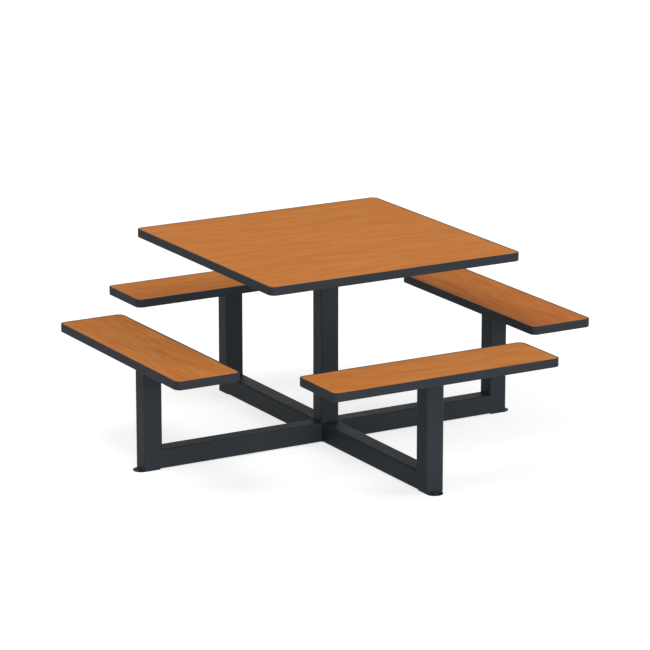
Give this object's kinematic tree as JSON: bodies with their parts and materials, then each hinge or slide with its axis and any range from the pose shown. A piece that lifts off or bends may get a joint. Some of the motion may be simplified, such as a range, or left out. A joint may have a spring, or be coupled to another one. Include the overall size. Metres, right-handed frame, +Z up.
{
  "type": "canteen table with fixed benches",
  "caption": "Square canteen table on a central square-tube column, with a bench fixed along each edge on floor arms and posts of the same tube.",
  "frame": {"origin": "on the floor, under the centre of the column", "axes": "+Z up; +X and +Y square to the table's edges, each along one floor arm towards its bench"},
  "size_m": [1.672, 1.672, 0.735],
  "materials": {
    "wood_laminate": "satin wood-grained laminate",
    "board_core": "bare chipboard",
    "backing_sheet": "matt balancing laminate",
    "edge_moulding": "satin anthracite moulding",
    "frame_coat": "anthracite powder coat",
    "foot_coat": "dark powder coat",
    "screw_steel": "zinc plated"
  },
  "bodies": {
    "root": {"table_core": "board_core", "table_laminate": "wood_laminate", "table_backing": "backing_sheet", "table_edge": "edge_moulding", "table_screws": "screw_steel", "bench_right_core": "board_core", "bench_right_laminate": "wood_laminate", "bench_right_backing": "backing_sheet", "bench_right_edge": "edge_moulding", "bench_right_screws": "screw_steel", "bench_back_core": "board_core", "bench_back_laminate": "wood_laminate", "bench_back_backing": "backing_sheet", "bench_back_edge": "edge_moulding", "bench_back_screws": "screw_steel", "bench_left_core": "board_core", "bench_left_laminate": "wood_laminate", "bench_left_backing": "backing_sheet", "bench_left_edge": "edge_moulding", "bench_left_screws": "screw_steel", "bench_front_core": "board_core", "bench_front_laminate": "wood_laminate", "bench_front_backing": "backing_sheet", "bench_front_edge": "edge_moulding", "bench_front_screws": "screw_steel", "table_plate": "frame_coat", "column": "frame_coat", "column_cap": "frame_coat", "bench_plate_right": "frame_coat", "post_right": "frame_coat", "arm_right": "frame_coat", "foot_plate_right": "foot_coat", "bench_plate_back": "frame_coat", "post_back": "frame_coat", "arm_back": "frame_coat", "foot_plate_back": "foot_coat", "bench_plate_left": "frame_coat", "post_left": "frame_coat", "arm_left": "frame_coat", "foot_plate_left": "foot_coat", "bench_plate_front": "frame_coat", "post_front": "frame_coat", "arm_front": "frame_coat", "foot_plate_front": "foot_coat"}
  },
  "joints": []
}
